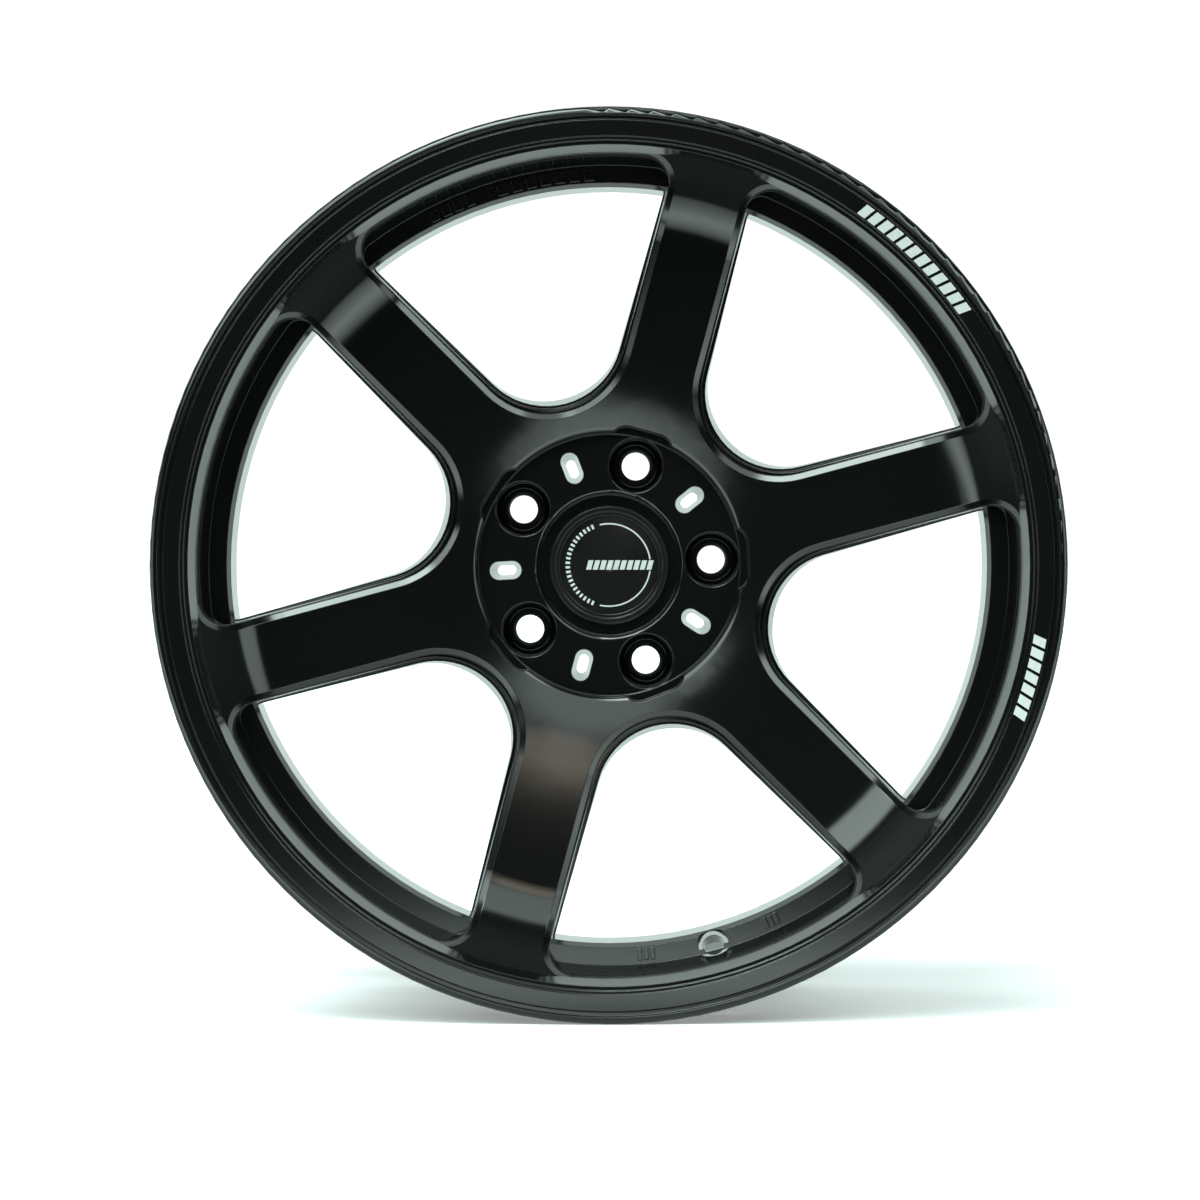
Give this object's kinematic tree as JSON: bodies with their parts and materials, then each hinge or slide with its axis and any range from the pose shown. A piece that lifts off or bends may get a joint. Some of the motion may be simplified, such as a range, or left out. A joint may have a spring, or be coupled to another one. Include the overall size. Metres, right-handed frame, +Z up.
{
  "type": "racing wheel rim",
  "caption": "Deep-concave spoked alloy wheel rim with recessed hub face, stepped front lip, drop-centre barrel, angled valve hole and push-in centre cap.",
  "frame": {"origin": "centre of the wheel: on its axis, midway between the front and rear faces of the rim", "axes": "+Y along the wheel's axis towards the vehicle, so the outer face looks towards -Y; +Z up with the wheel standing and rolled as shown, its first spoke 15 degrees above +X; +X to the right seen from the front"},
  "size_m": [0.497, 0.264, 0.497],
  "materials": {
    "satin_black_paint": "satin black powder coat on cast aluminium",
    "black_plastic": "black moulded ABS, semi-gloss",
    "spring_wire": "bright spring wire",
    "adhesive_foam": "black foam tape",
    "black_disc": "black lacquered thin aluminium, glossy",
    "silver_foil": "silver foil"
  },
  "bodies": {
    "rim": {"wheel": "satin_black_paint", "lip_sticker_upper": "silver_foil", "lip_sticker_lower": "silver_foil"},
    "cap": {"cap_body": "black_plastic", "cap_spring_ring": "spring_wire", "cap_adhesive_pad": "adhesive_foam", "cap_emblem_disc": "black_disc", "cap_foil_ring": "silver_foil", "cap_foil_bars": "silver_foil"}
  },
  "joints": [
    {"name": "cap_pull", "type": "slide", "parent": "rim", "child": "cap", "axis": [0, -1, 0], "range_m": [0, 0.04]}
  ]
}
